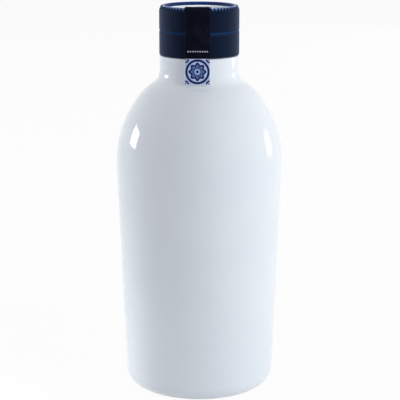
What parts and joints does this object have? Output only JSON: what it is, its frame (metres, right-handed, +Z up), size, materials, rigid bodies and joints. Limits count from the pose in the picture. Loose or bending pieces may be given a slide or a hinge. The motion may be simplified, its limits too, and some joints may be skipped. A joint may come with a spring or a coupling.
{
  "type": "bottle vase",
  "caption": "Tapered porcelain bottle vase with a knurled metal collar on a blue liner, a card label folded over the rim and a swinging tile-print tag.",
  "frame": {"origin": "centre of the foot ring, on the surface the vase stands on", "axes": "+Z up along the vase's axis; the label and its tag are on the -Y side, turned 2.2 degrees towards -X"},
  "size_m": [0.1072, 0.1072, 0.2507],
  "materials": {
    "glazed_porcelain": "cool white gloss glaze",
    "cobalt_enamel": "gloss vitreous enamel, paler where it runs thin over the rolled rim",
    "navy_satin": "satin navy coat",
    "black_card": "smooth black card, matt",
    "tile_print": "blue and white tile print under a clear gloss film"
  },
  "bodies": {
    "vase": {"vase_body": "glazed_porcelain"},
    "collar": {"collar_liner": "cobalt_enamel", "upper_collar": "navy_satin", "lower_collar": "navy_satin", "label_strip": "black_card"},
    "tag": {"tile_tag": "tile_print"}
  },
  "joints": [
    {"name": "collar_lift", "type": "slide", "parent": "vase", "child": "collar", "axis": [0, 0, 1], "range_m": [0, 0.046]},
    {"name": "tag_swing", "type": "hinge", "parent": "collar", "child": "tag", "pos_m": [-0.00103, -0.02668, 0.21915], "axis": [-0.9993, 0.0384, 0], "range_deg": [0, 160]}
  ]
}
